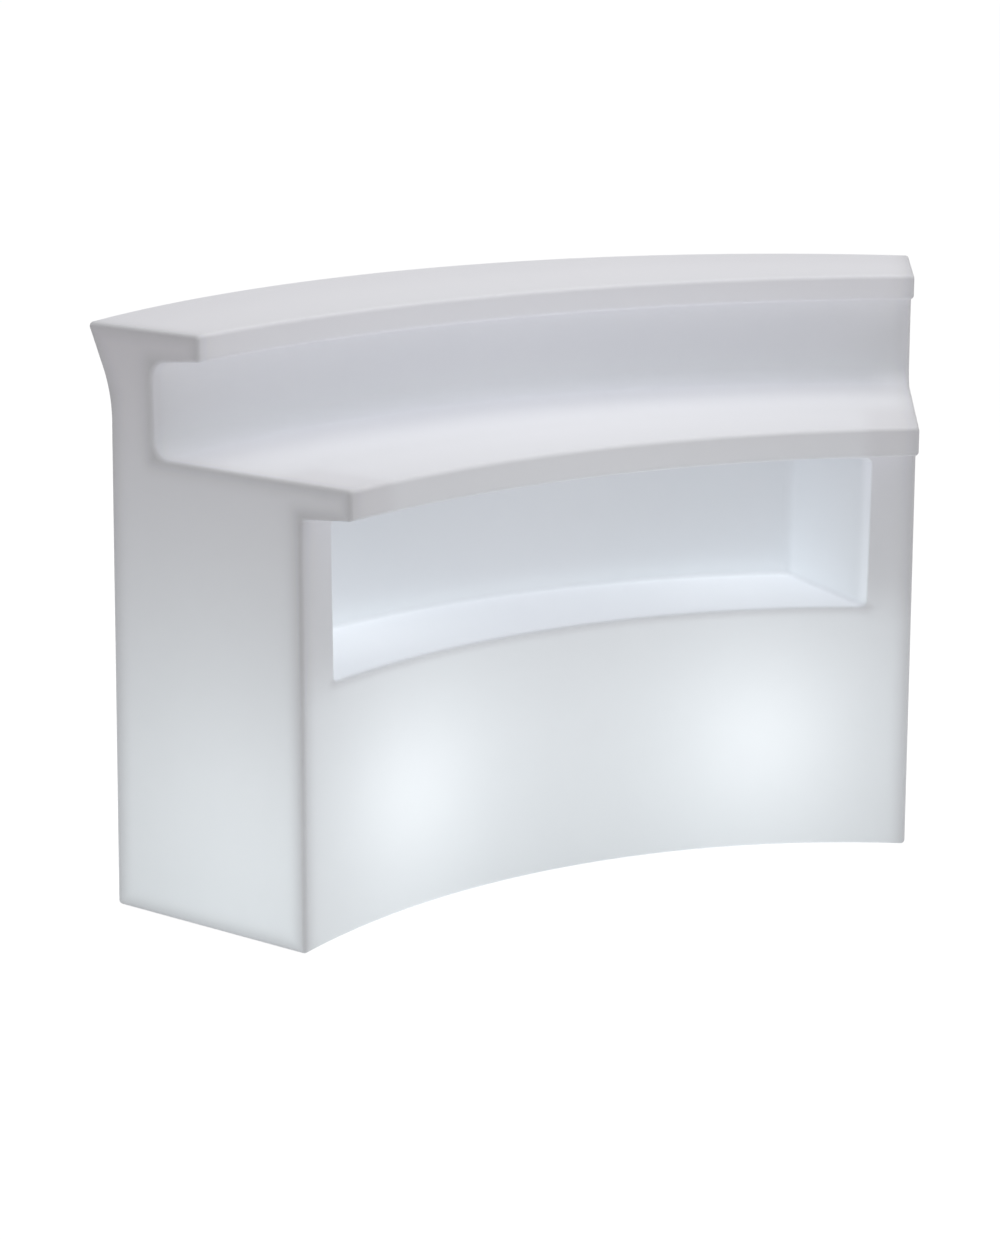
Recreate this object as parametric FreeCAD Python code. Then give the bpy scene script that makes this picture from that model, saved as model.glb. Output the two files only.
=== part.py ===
import FreeCAD
import Part
import math
import os

# Curved bar counter, moulded in one hollow piece and lit from inside by two bulbs.
# X runs along the counter, +Y points to the guests and -Y to the bartender, +Z is up.
# The plan is drawn round the centre of the inner wall's arc, on the counter's middle line.
# Each piece is moved at the end, so that the floor centre of the whole counter is the origin.

# Overall sizes
counter_height = 1100.0
half_sector_deg = 31.0
end_draft_deg = 0.8
shell_wall = 6.0
floor_gap = 2.0
overrun = 20.0
clear_spread_deg = 13.0
pick_tolerance = 2.0
join_tolerance = 0.0001

# Plan: the inner wall's arc, what lies before and behind it on the middle line, and how far
# the centres of the lips' arcs and of the guest wall's arc lie from its centre
inner_wall_radius = 1238.0
inner_wall_lean_deg = 0.1
step_setback = 325.0
body_depth = 468.0
work_lip_overhang = 152.0
shelf_lip_overhang = 155.0
lips_centre_setback = 450.0
guest_centre_advance = 287.0
guest_wall_lean_deg = 1.2

# Lips of the work surface and of the guest shelf
step_drop = 231.0
work_lip_thickness = 55.0
shelf_lip_thickness = 48.0
lip_underside_deg = 6.0
wall_root_radius = 8.0
step_root_radius = 32.0

# Flare of the guest side
flare_reach = 50.0
flare_deg = 22.0
flare_radius = 240.0

# All outer edges of the moulding
edge_radius = 8.0

# Niche under the work surface
niche_end_margin = 82.617
niche_depth = 245.0
niche_cover = 6.0
niche_height = 294.0
niche_draft_deg = 2.1
niche_back_corner_radius = 25.0
niche_inner_radius = 10.0
niche_mouth_radius = 5.0

# Levelling feet
foot_angle_deg = 27.0
foot_wall_margin = 60.0
foot_pocket_radius = 30.0
foot_pocket_depth = 20.0
foot_travel = 12.0
sole_radius = 21.0
sole_thickness = 3.0
pad_radius = 24.0
pad_rim_thickness = 5.0
pad_hub_radius = 11.0
pad_height = 12.0
pad_edge_radius = 1.5
pivot_radius = 4.9
pivot_depth = 8.0
pivot_clearance = 0.08
stem_radius = 4.95
stem_flats = 17.0
stem_clearance = 0.07
stem_tip_chamfer = 1.0
hub_clearance = 0.4
foot_insert_radius = 7.5
foot_insert_length = 24.0
insert_groove_depth = 0.8
insert_groove_share = 0.3
boss_wall = 6.0
moulding_clearance = 0.05

# Lamp recesses in the base and the grooves that lead the cords out
lamp_angle_deg = 17.6
lamp_wall_distance = 185.0
recess_radius = 112.0
recess_depth = 80.0
recess_flare = 4.0
recess_corner_radius = 8.0
access_radius = 75.0
groove_width = 16.0
groove_height = 14.0
groove_corner_radius = 5.0

# Hatch of a lamp recess
gasket_thickness = 2.0
gasket_margin = 3.0
plate_radius = 102.0
plate_thickness = 5.0
plate_edge_radius = 1.5
turret_radius = 34.0
turret_height = 45.0
turret_wall = 4.0
turret_corner_radius = 3.0
rib_count = 6
rib_thickness = 2.5
rib_height = 26.0
rib_length = 30.0
hatch_screw_count = 4
hatch_screw_circle_radius = 90.0
hatch_screw_first_deg = 45.0
hatch_screw_radius = 2.45
hatch_screw_length = 16.0
hatch_screw_head_radius = 4.75
hatch_screw_head_height = 3.2
hatch_screw_hole_radius = 2.8
hatch_insert_radius = 4.0
hatch_insert_length = 11.0
screw_socket_flats = 3.0
screw_socket_depth = 1.8
screw_clearance = 0.07

# Cord gland in the hatch
gland_offset = 55.0
gland_thread_radius = 8.0
gland_hole_clearance = 0.2
gland_flats = 22.0
gland_flange_thickness = 5.0
gland_neck_length = 12.0
gland_shank_length = 12.0
gland_bore_radius = 4.6
gland_seal_radius = 6.2
gland_seal_length = 10.0
gland_seal_nose = 1.5
gland_locknut_flats = 20.0
gland_nut_wall = 3.0
gland_nut_grip = 8.0
gland_nut_clearance = 0.3
gland_locknut_thickness = 5.0
cord_radius = 3.6

# Lamp holder on the turret
holder_flange_radius = 29.0
holder_flange_thickness = 4.0
holder_radius = 21.0
holder_base_height = 23.0
holder_wall = 3.0
holder_cord_hole_radius = 4.5
holder_ring_height = 28.0
holder_ring_top_radius = 19.5
holder_screw_offset = 25.0
holder_screw_count = 2
holder_screw_radius = 2.0
holder_screw_length = 9.0
holder_screw_head_radius = 3.5
holder_screw_head_height = 2.4
holder_screw_clearance = 0.2
contact_shell_radius = 13.4
contact_shell_wall = 0.6
contact_shell_height = 24.0
contact_button_radius = 4.0
contact_button_height = 3.0

# Bulb
bulb_cap_radius = 12.9
bulb_cap_height = 25.0
bulb_cap_wall = 0.8
bulb_tip_radius = 4.5
bulb_tip_height = 2.0
bulb_cone_height = 4.0
bulb_gap = 0.6
bulb_neck_radius = 13.5
bulb_body_height = 36.0
bulb_radius = 30.0
bulb_body_rim_radius = 28.5
bulb_globe_rise = 14.0
bulb_wall = 2.0
dome_share = 0.98


def tan_deg(angle):
    return math.tan(math.radians(angle))


def cos_deg(angle):
    return math.cos(math.radians(angle))


def sin_deg(angle):
    return math.sin(math.radians(angle))


def upright(x, z):
    """Point of a section, drawn in the XZ plane."""
    return FreeCAD.Vector(x, 0, z)


def flat(x, y):
    """Point of a plan."""
    return FreeCAD.Vector(x, y, 0)


def outline(corners, place):
    """Closed wire through the corners; a corner's third value is its radius."""
    points = [place(corner[0], corner[1]) for corner in corners]
    bends = []
    for index, corner in enumerate(corners):
        here = points[index]
        radius = corner[2] if len(corner) > 2 else 0
        if radius <= 0:
            bends.append((here, None, here))
            continue
        back = (points[index - 1] - here).normalize()
        ahead = (points[(index + 1) % len(points)] - here).normalize()
        half_angle = back.getAngle(ahead) / 2
        reach = radius / math.tan(half_angle)
        middle = (back + ahead).normalize()
        crown = here + middle * (radius / math.sin(half_angle) - radius)
        bends.append((here + back * reach, crown, here + ahead * reach))
    edges = []
    for index, (start, crown, end) in enumerate(bends):
        before = bends[index - 1][2]
        if before.distanceToPoint(start) > join_tolerance:
            edges.append(Part.LineSegment(before, start).toShape())
        if crown is not None:
            edges.append(Part.Arc(start, crown, end).toShape())
    return Part.Wire(edges)


def turned(corners, centre_y=0.0):
    """Solid of revolution about the upright axis at centre_y; its seam faces the bartender."""
    face = Part.Face(outline(corners, upright))
    solid = face.revolve(upright(0, 0), FreeCAD.Vector(0, 0, 1), 360)
    solid.rotate(upright(0, 0), FreeCAD.Vector(0, 0, 1), -90)
    solid.translate(flat(0, centre_y))
    return solid


def disc(radius, low, high):
    return Part.makeCylinder(radius, high - low, upright(0, low))


def ring(outer, inner, low, high):
    return disc(outer, low, high).cut(disc(inner, low, high))


def hexagon(flats, low, high):
    """Upright six-sided bar, flats wide."""
    radius = flats / 2 / cos_deg(30)
    corners = [(radius * cos_deg(turn), radius * sin_deg(turn)) for turn in range(0, 360, 60)]
    bar = Part.Face(outline(corners, flat)).extrude(upright(0, high - low))
    bar.translate(upright(0, low))
    return bar


def round_about(shape, count, radius, first_deg=0.0):
    """Copies of a shape on a circle about the upright axis, each turned with its place."""
    copies = []
    for index in range(count):
        turn = first_deg + 360 * index / count
        copy = shape.copy()
        copy.translate(flat(radius, 0))
        copy.rotate(upright(0, 0), FreeCAD.Vector(0, 0, 1), turn)
        copies.append(copy)
    return copies


def prismatoid(lower, upper):
    """Solid with flat faces between two polygons with as many corners."""
    faces = [Part.Face(Part.makePolygon(ends + ends[:1])) for ends in (lower, upper)]
    for index in range(len(lower)):
        side = [lower[index - 1], lower[index], upper[index], upper[index - 1]]
        faces.append(Part.Face(Part.makePolygon(side + side[:1])))
    return Part.Solid(Part.Shell(faces))


def moved(shape, place):
    copy = shape.copy()
    copy.translate(place)
    return copy


def on_ray(angle_deg, radius, centre_y=0.0):
    """Where the ray from the plan's centre meets the circle about centre_y."""
    along = centre_y * cos_deg(angle_deg)
    reach = along + math.sqrt(radius ** 2 - centre_y ** 2 + along ** 2)
    return flat(reach * sin_deg(angle_deg), reach * cos_deg(angle_deg))


# The moulding

step_wall_radius = inner_wall_radius + step_setback
work_lip_radius = inner_wall_radius + lips_centre_setback - work_lip_overhang
shelf_lip_radius = step_wall_radius + lips_centre_setback - shelf_lip_overhang
guest_wall_radius = inner_wall_radius + body_depth - guest_centre_advance
niche_half_width = inner_wall_radius * sin_deg(half_sector_deg) - niche_end_margin
niche_back_radius = inner_wall_radius + niche_depth
plan_reach = guest_centre_advance + guest_wall_radius + flare_reach + lips_centre_setback
tool_low = -overrun
tool_high = counter_height + overrun
work_height = counter_height - step_drop
flare_foot = counter_height - flare_reach / tan_deg(flare_deg)


def sector(half_angle_deg, draft_deg, inset=0.0):
    """Wedge between the two end faces, which lean in by the draft going up."""
    rings = []
    for height in (tool_low, tool_high):
        apex = (height * tan_deg(draft_deg) + inset / cos_deg(draft_deg)) / sin_deg(half_angle_deg)
        side = 2 * plan_reach * sin_deg(half_angle_deg)
        ahead = apex + 2 * plan_reach * cos_deg(half_angle_deg)
        rings.append([
            FreeCAD.Vector(0, apex, height),
            FreeCAD.Vector(side, ahead, height),
            FreeCAD.Vector(-side, ahead, height),
        ])
    return prismatoid(*rings)


def guest_wall_at(height):
    """Radius of the guest wall, narrowest under its flare and wider towards the floor."""
    return guest_wall_radius + (flare_foot - height) * tan_deg(guest_wall_lean_deg)


def guest_drum(inset=0.0):
    """Everything within the guest side's wall, with its flare."""
    across_wall = inset / cos_deg(guest_wall_lean_deg)
    across_flare = inset / cos_deg(flare_deg)
    slopes = tan_deg(flare_deg) + tan_deg(guest_wall_lean_deg)
    knee = flare_foot + (across_flare - across_wall) / slopes
    top = counter_height - inset
    bottom = floor_gap + inset
    corners = [
        (0, bottom),
        (guest_wall_at(bottom) - across_wall, bottom),
        (guest_wall_at(knee) - across_wall, knee, flare_radius + inset),
        (guest_wall_radius + tan_deg(flare_deg) * (top - flare_foot) - across_flare, top),
        (0, top),
    ]
    return turned(corners, guest_centre_advance)


def inner_wall_at(height):
    """Radius of the bartender's wall, which leans forward going up."""
    return inner_wall_radius - height * tan_deg(inner_wall_lean_deg)


def niche_roof():
    """Height of the niche's ceiling, a little under the root of the work surface's lip."""
    under = work_height - work_lip_thickness
    overhang = inner_wall_at(under) + lips_centre_setback - work_lip_radius
    return under - overhang * tan_deg(lip_underside_deg) - wall_root_radius - niche_cover


def niche_floor():
    return niche_roof() - niche_height


def lip_section(lip_radius, top, thickness, inset):
    """Corners round one lip, from its far underside to its far top."""
    edge = lip_radius + inset
    slope = tan_deg(lip_underside_deg)
    under = top - thickness + inset / cos_deg(lip_underside_deg) - inset * slope
    return [
        (plan_reach, under - (plan_reach - edge) * slope),
        (edge, under),
        (edge, top - inset),
        (plan_reach, top - inset),
    ]


def bartender_space(inset=0.0):
    """Everything in front of the bartender's side, outside its walls and its two lips."""
    lips = [(0, tool_low), (plan_reach, tool_low)]
    lips += lip_section(work_lip_radius, work_height, work_lip_thickness, inset)
    lips += lip_section(shelf_lip_radius, counter_height, shelf_lip_thickness, inset)[:2]
    lips += [(shelf_lip_radius + inset, tool_high), (0, tool_high)]
    change = work_height - work_lip_thickness / 2
    walls = [
        (0, tool_low),
        (inner_wall_at(tool_low) + inset, tool_low),
        (inner_wall_at(change) + inset, change),
        (step_wall_radius + inset, change),
        (step_wall_radius + inset, tool_high),
        (0, tool_high),
    ]
    space = turned(lips, -lips_centre_setback).common(turned(walls))
    return space.common(sector(half_sector_deg + clear_spread_deg, 0))


def arcs_across(shape, middle_y, low, high):
    """Edges that cross the middle line at middle_y, between two heights."""
    found = []
    for edge in shape.Edges:
        box = edge.BoundBox
        crosses = box.XMin < 0 < box.XMax and abs(box.YMax - middle_y) < pick_tolerance
        if crosses and low < box.ZMin and box.ZMax < high:
            found.append(edge)
    return found


def rounded_bartender_space():
    """The bartender's space with the roots of both lips and of the step rounded."""
    space = bartender_space()
    shelf_under = counter_height - shelf_lip_thickness
    step_edges = arcs_across(space, step_wall_radius, work_height - pick_tolerance, shelf_under)
    space = space.makeFillet(step_root_radius, step_edges)
    root = inner_wall_at(work_height - work_lip_thickness)
    wall_edges = arcs_across(space, root, niche_floor(), work_height - work_lip_thickness)
    return space.makeFillet(wall_root_radius, wall_edges)


def niche_space(inset=0.0):
    """Straight pocket that the mould's core leaves, narrower towards its back."""
    mouth_y = math.sqrt(inner_wall_radius ** 2 - niche_half_width ** 2)
    front_y = mouth_y - work_lip_radius + inner_wall_radius - lips_centre_setback
    back_y = niche_back_radius + overrun
    front = niche_half_width + inset + (mouth_y - front_y) * tan_deg(niche_draft_deg)
    back = niche_half_width + inset - (back_y - mouth_y) * tan_deg(niche_draft_deg)
    corners = [(-front, front_y), (front, front_y), (back, back_y), (-back, back_y)]
    pocket = Part.Face(outline(corners, flat)).extrude(upright(0, niche_height + 2 * inset))
    pocket.translate(upright(0, niche_floor() - inset))
    return pocket.common(disc(niche_back_radius + inset, tool_low, tool_high))


def rounded_niche_space():
    """The niche's pocket with its back corners, floor and ceiling edges rounded."""
    pocket = niche_space()
    corners = [edge for edge in pocket.Edges
               if edge.BoundBox.ZLength > niche_height / 2 and edge.BoundBox.YMin > inner_wall_radius]
    pocket = pocket.makeFillet(niche_back_corner_radius, corners)
    front_y = pocket.BoundBox.YMin
    floor_and_ceiling = [edge for edge in pocket.Edges
                         if edge.BoundBox.ZLength < niche_height / 2
                         and edge.BoundBox.YMax > front_y + pick_tolerance]
    return pocket.makeFillet(niche_inner_radius, floor_and_ceiling)


def end_edges(shape):
    """Edges round the two flat end faces."""
    found = []
    for face in shape.Faces:
        if isinstance(face.Surface, Part.Plane) and abs(face.Surface.Axis.x) > sin_deg(half_sector_deg):
            found += face.Edges
    return found


def rim_edges(shape):
    """Edges that run along the base, both lips and the top of the flare."""
    shelf_under = counter_height - shelf_lip_thickness
    work_under = work_height - work_lip_thickness
    found = []
    for height in (floor_gap, work_under, work_height, shelf_under, counter_height):
        for edge in shape.Edges:
            box = edge.BoundBox
            level = abs(box.ZMin - height) < pick_tolerance and abs(box.ZMax - height) < pick_tolerance
            beside_root = height == work_height and box.YMax > inner_wall_radius
            if level and box.XMin < 0 < box.XMax and not beside_root:
                found.append(edge)
    return found


def niche_mouth_edges(shape):
    """Edges between the niche and the bartender's wall."""
    found = []
    for edge in shape.Edges:
        if edge.Degenerated:
            continue
        points = edge.discretize(5)
        on_wall = all(abs(math.hypot(p.x, p.y) - inner_wall_at(p.z)) < shell_wall / 10 for p in points)
        beside = all(abs(p.x) < niche_half_width + pick_tolerance for p in points)
        above = all(p.z > niche_floor() - pick_tolerance for p in points)
        if on_wall and beside and above:
            found.append(edge)
    return found


def moulding_outside():
    """Outer form of the moulding, before its base is recessed."""
    form = guest_drum().common(sector(half_sector_deg, end_draft_deg)).cut(rounded_bartender_space())
    form = form.makeFillet(edge_radius, end_edges(form) + rim_edges(form))
    form = form.cut(rounded_niche_space())
    return form.makeFillet(niche_mouth_radius, niche_mouth_edges(form))


# The recesses of the base

pocket_roof = floor_gap + foot_pocket_depth
recess_roof = floor_gap + recess_depth
sides = {"left": -1, "right": 1}


def foot_places():
    """Foot name and place: three near the bartender's wall, three near the guest wall."""
    places = {}
    for name, turn in (("left", -foot_angle_deg), ("middle", 0), ("right", foot_angle_deg)):
        places[name + "_inner"] = on_ray(turn, inner_wall_radius + foot_wall_margin)
        places[name + "_outer"] = on_ray(turn, guest_wall_at(0) - foot_wall_margin, guest_centre_advance)
    return places


def lamp_places():
    distance = inner_wall_radius + lamp_wall_distance
    return {name: on_ray(side * lamp_angle_deg, distance) for name, side in sides.items()}


def foot_pocket(grow=0.0):
    return disc(foot_pocket_radius + grow, tool_low, pocket_roof + grow)


def foot_boss():
    return disc(foot_insert_radius + boss_wall, tool_low, pocket_roof + foot_insert_length + boss_wall)


def lamp_recess(grow=0.0):
    """Round recess, a little wider at its mouth."""
    return turned([
        (0, tool_low),
        (recess_radius + recess_flare + grow, tool_low),
        (recess_radius + grow, recess_roof + grow, recess_corner_radius + grow),
        (0, recess_roof + grow),
    ])


def on_hatch_screws(shape):
    """Copies of a shape at the hatch's screws, about the lamp's own axis."""
    return round_about(shape, hatch_screw_count, hatch_screw_circle_radius, hatch_screw_first_deg)


def hatch_bosses():
    boss = disc(hatch_insert_radius + boss_wall, recess_roof, recess_roof + hatch_insert_length + boss_wall)
    return on_hatch_screws(boss)


def cord_groove(grow=0.0):
    """Groove under the base, from a lamp recess straight out to the guest side."""
    half = groove_width / 2 + grow
    top = floor_gap + groove_height + grow
    corner = groove_corner_radius + grow
    corners = [(-half, tool_low), (-half, top, corner), (half, top, corner), (half, tool_low)]
    return Part.Face(outline(corners, upright)).extrude(flat(0, guest_wall_radius))


def base_tools(grow=0.0):
    """The pockets, recesses and grooves of the base, grown by the wall for the cavity."""
    tools = [moved(foot_pocket(grow), place) for place in foot_places().values()]
    for place in lamp_places().values():
        tools += [moved(lamp_recess(grow), place), moved(cord_groove(grow), place)]
    return tools


def bosses():
    """The solid lugs that hold the moulded-in inserts."""
    lugs = [moved(foot_boss(), place) for place in foot_places().values()]
    for place in lamp_places().values():
        lugs += [moved(boss, place) for boss in hatch_bosses()]
    return lugs


def insert_bores():
    bores = []
    radius = foot_insert_radius + moulding_clearance
    for place in foot_places().values():
        bores.append(moved(disc(radius, pocket_roof, pocket_roof + foot_insert_length), place))
    bore = disc(hatch_insert_radius + moulding_clearance, recess_roof, recess_roof + hatch_insert_length)
    for place in lamp_places().values():
        bores += [moved(one, place) for one in on_hatch_screws(bore)]
        bores.append(moved(disc(access_radius, recess_roof, recess_roof + 2 * shell_wall), place))
    return bores


def cavity():
    """The hollow inside, one wall's thickness within the outer form."""
    hollow = guest_drum(shell_wall).common(sector(half_sector_deg, end_draft_deg, shell_wall))
    hollow = hollow.cut([bartender_space(shell_wall), niche_space(shell_wall)])
    return hollow.cut(base_tools(shell_wall) + bosses())


def counter_body():
    return moulding_outside().cut(base_tools()).cut([cavity()] + insert_bores())


def insert(radius, bore, low, length):
    """Moulded-in brass insert with a groove that keys it in the plastic."""
    groove = length * insert_groove_share
    middle = low + length / 2
    return turned([
        (bore, low),
        (radius, low),
        (radius, middle - groove / 2),
        (radius - insert_groove_depth, middle - groove / 2 + insert_groove_depth),
        (radius - insert_groove_depth, middle + groove / 2 - insert_groove_depth),
        (radius, middle + groove / 2),
        (radius, low + length),
        (bore, low + length),
    ])


def foot_inserts():
    brass = insert(foot_insert_radius, stem_radius + stem_clearance, pocket_roof, foot_insert_length)
    return Part.makeCompound([moved(brass, place) for place in foot_places().values()])


def hatch_inserts():
    bore = hatch_screw_radius + screw_clearance
    brass = insert(hatch_insert_radius, bore, recess_roof, hatch_insert_length)
    circle = on_hatch_screws(brass)
    return Part.makeCompound([moved(one, place) for place in lamp_places().values() for one in circle])


# Levelling foot, about its own axis

pad_low = sole_thickness
pad_top = pad_low + pad_height
pivot_low = pad_top - pivot_depth


def foot_sole():
    return turned([
        (0, 0),
        (sole_radius, 0, pad_edge_radius),
        (sole_radius, sole_thickness),
        (0, sole_thickness),
    ])


def foot_pad():
    return turned([
        (0, pad_low),
        (pad_radius, pad_low, pad_edge_radius),
        (pad_radius, pad_low + pad_rim_thickness, pad_edge_radius),
        (pad_hub_radius, pad_top, pad_edge_radius),
        (pivot_radius + pivot_clearance, pad_top),
        (pivot_radius + pivot_clearance, pivot_low),
        (0, pivot_low),
    ])


def chamfered_hexagon(flats, low, high):
    """Six-sided bar with the turned chamfer of a nut at both ends."""
    corner = flats / 2 / cos_deg(30)
    slope = corner - flats / 2
    turning = turned([
        (0, low),
        (flats / 2, low),
        (corner, low + slope),
        (corner, high - slope),
        (flats / 2, high),
        (0, high),
    ])
    return hexagon(flats, low, high).common(turning)


def foot_stem():
    collar = chamfered_hexagon(stem_flats, pad_top + hub_clearance, pocket_roof)
    tip = pocket_roof + foot_insert_length
    rod = turned([
        (0, pivot_low),
        (pivot_radius, pivot_low),
        (pivot_radius, pocket_roof),
        (stem_radius, pocket_roof),
        (stem_radius, tip - stem_tip_chamfer),
        (stem_radius - stem_tip_chamfer, tip),
        (0, tip),
    ])
    return rod.fuse(collar).removeSplitter()


# Lamp hatch, about the axis of its recess

plate_top = recess_roof - gasket_thickness
plate_low = plate_top - plate_thickness
turret_top = plate_top + turret_height
gland_place = flat(0, gland_offset)


def hatch_plate():
    """Round cover with a hollow turret for the lamp, ribs, and its screw and gland holes."""
    inner = turret_radius - turret_wall
    plate = turned([
        (0, turret_top),
        (turret_radius, turret_top, turret_corner_radius),
        (turret_radius, plate_top),
        (plate_radius, plate_top, plate_edge_radius),
        (plate_radius, plate_low, plate_edge_radius),
        (inner, plate_low),
        (inner, turret_top - turret_wall),
        (0, turret_top - turret_wall),
    ])
    root = turret_wall / 2
    rib = Part.Face(outline([
        (-root, plate_top - root),
        (rib_length, plate_top - root),
        (rib_length, plate_top),
        (0, plate_top + rib_height),
        (-root, plate_top + rib_height),
    ], upright)).extrude(flat(0, rib_thickness))
    rib.translate(flat(0, -rib_thickness / 2))
    plate = plate.fuse(round_about(rib, rib_count, turret_radius))
    hole = disc(hatch_screw_hole_radius, plate_low, plate_top)
    holes = on_hatch_screws(hole)
    holes.append(moved(disc(gland_thread_radius + gland_hole_clearance, plate_low, plate_top), gland_place))
    grip = disc(holder_screw_radius + screw_clearance, turret_top - turret_wall, turret_top)
    holes += round_about(grip, holder_screw_count, holder_screw_offset)
    return plate.cut(holes)


def hatch_gasket():
    rubber = ring(plate_radius - gasket_margin, access_radius + gasket_margin, plate_top, recess_roof)
    hole = disc(hatch_screw_hole_radius, plate_top, recess_roof)
    return rubber.cut(on_hatch_screws(hole))


def hatch_screws():
    """Pan head screws, heads down, with a hexagon socket each."""
    low = plate_low - hatch_screw_head_height
    screw = turned([
        (0, low),
        (hatch_screw_head_radius, low, hatch_screw_head_height / 2),
        (hatch_screw_head_radius, plate_low),
        (hatch_screw_radius, plate_low),
        (hatch_screw_radius, plate_low + hatch_screw_length),
        (0, plate_low + hatch_screw_length),
    ])
    screw = screw.cut(hexagon(screw_socket_flats, low, low + screw_socket_depth))
    return Part.makeCompound(on_hatch_screws(screw))


# Cord gland, about its own axis

gland_flange_low = plate_low - gland_flange_thickness
gland_shank_low = gland_flange_low - gland_shank_length
seal_low = gland_shank_low - gland_seal_nose
seal_top = seal_low + gland_seal_length


def gland_body():
    flange = chamfered_hexagon(gland_flats, gland_flange_low, plate_low)
    thread = disc(gland_thread_radius, gland_shank_low, plate_top + gland_neck_length)
    bores = [disc(gland_bore_radius, gland_shank_low, plate_top + gland_neck_length),
             disc(gland_seal_radius, gland_shank_low, seal_top)]
    return moved(flange.fuse(thread).cut(bores), gland_place)


def gland_seal():
    return moved(ring(gland_seal_radius - moulding_clearance, cord_radius, seal_low, seal_top), gland_place)


def gland_nut():
    """Dome nut that squeezes the seal round the cord."""
    low = seal_low - gland_nut_wall
    shoulder = low + gland_nut_grip
    grip = chamfered_hexagon(gland_flats, shoulder, gland_flange_low - gland_nut_clearance)
    dome = turned([
        (0, low),
        (gland_seal_radius + gland_nut_wall, low, gland_nut_wall / 2),
        (gland_flats / 2, shoulder),
        (gland_flats / 2, shoulder + gland_nut_wall),
        (0, shoulder + gland_nut_wall),
    ])
    room = disc(gland_thread_radius + gland_nut_clearance, seal_low, gland_flange_low)
    return moved(grip.fuse(dome).cut([room, disc(gland_bore_radius, low, seal_low)]), gland_place)


def gland_locknut():
    nut = chamfered_hexagon(gland_locknut_flats, plate_top, plate_top + gland_locknut_thickness)
    bore = disc(gland_thread_radius + moulding_clearance, plate_top, plate_top + gland_locknut_thickness)
    return moved(nut.cut(bore), gland_place)


# Lamp holder and bulb, about the axis of the recess

flange_top = turret_top + holder_flange_thickness
base_top = turret_top + holder_base_height
ring_top = base_top + holder_ring_height
button_top = base_top + contact_button_height
cap_top = button_top + bulb_cap_height
body_low = cap_top + bulb_gap
body_top = body_low + bulb_body_height


def holder_base():
    """Straight holder's foot: a screwed flange and a hollow box for the cord's ends."""
    foot = turned([
        (holder_radius - holder_wall, turret_top),
        (holder_flange_radius, turret_top),
        (holder_flange_radius, flange_top),
        (holder_radius, flange_top),
        (holder_radius, base_top),
        (0, base_top),
        (0, base_top - holder_wall),
        (holder_radius - holder_wall, base_top - holder_wall),
    ])
    hole = disc(holder_screw_radius + holder_screw_clearance, turret_top, flange_top)
    cord_hole = Part.makeCylinder(holder_cord_hole_radius, holder_flange_radius,
                                  upright(0, (flange_top + base_top) / 2), flat(0, 1))
    return foot.cut(round_about(hole, holder_screw_count, holder_screw_offset) + [cord_hole])


def holder_ring():
    inner = contact_shell_radius + contact_shell_wall + moulding_clearance
    return turned([
        (inner, base_top),
        (holder_radius, base_top),
        (holder_ring_top_radius, ring_top, holder_wall / 2),
        (inner, ring_top),
    ])


def holder_contacts():
    """The threaded brass shell and the centre button."""
    shell = ring(contact_shell_radius + contact_shell_wall, contact_shell_radius,
                 base_top, base_top + contact_shell_height)
    return Part.makeCompound([shell, disc(contact_button_radius, base_top, button_top)])


def holder_screws():
    screw = turned([
        (0, flange_top - holder_screw_length),
        (holder_screw_radius, flange_top - holder_screw_length),
        (holder_screw_radius, flange_top),
        (holder_screw_head_radius, flange_top),
        (holder_screw_head_radius, flange_top + holder_screw_head_height, holder_screw_head_height / 2),
        (0, flange_top + holder_screw_head_height),
    ])
    return Part.makeCompound(round_about(screw, holder_screw_count, holder_screw_offset))


def bulb_cap():
    """Screw cap: a thin cup that ends in the centre contact."""
    tip_top = button_top + bulb_tip_height
    cone_top = tip_top + bulb_cone_height
    return turned([
        (0, button_top),
        (bulb_tip_radius, button_top),
        (bulb_tip_radius, tip_top),
        (bulb_cap_radius, cone_top),
        (bulb_cap_radius, cap_top),
        (bulb_cap_radius - bulb_cap_wall, cap_top),
        (bulb_cap_radius - bulb_cap_wall, cone_top + bulb_cap_wall),
        (0, cone_top + bulb_cap_wall),
    ])


def bulb_body():
    """Housing of the bulb's electronics, which widens from the cap to the globe."""
    plug_low = button_top + bulb_tip_height + bulb_cone_height + bulb_cap_wall
    plug = bulb_cap_radius - bulb_cap_wall - moulding_clearance
    return turned([
        (0, plug_low),
        (plug, plug_low),
        (plug, body_low),
        (bulb_neck_radius, body_low),
        (bulb_neck_radius, body_low + bulb_body_height / 4, bulb_neck_radius),
        (bulb_body_rim_radius, body_top - bulb_body_height / 8, bulb_neck_radius / 2),
        (bulb_body_rim_radius, body_top),
        (0, body_top),
    ])


def bulb_globe():
    """Opal dome on the housing."""
    straight_top = body_top + bulb_globe_rise
    top = straight_top + bulb_radius
    return turned([
        (bulb_body_rim_radius - bulb_wall, body_top),
        (bulb_body_rim_radius, body_top),
        (bulb_radius, straight_top),
        (bulb_radius, top, bulb_radius * dome_share),
        (0, top),
        (0, top - bulb_wall),
        (bulb_radius - bulb_wall, top - bulb_wall, (bulb_radius - bulb_wall) * dome_share),
        (bulb_radius - bulb_wall, straight_top),
    ])


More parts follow.
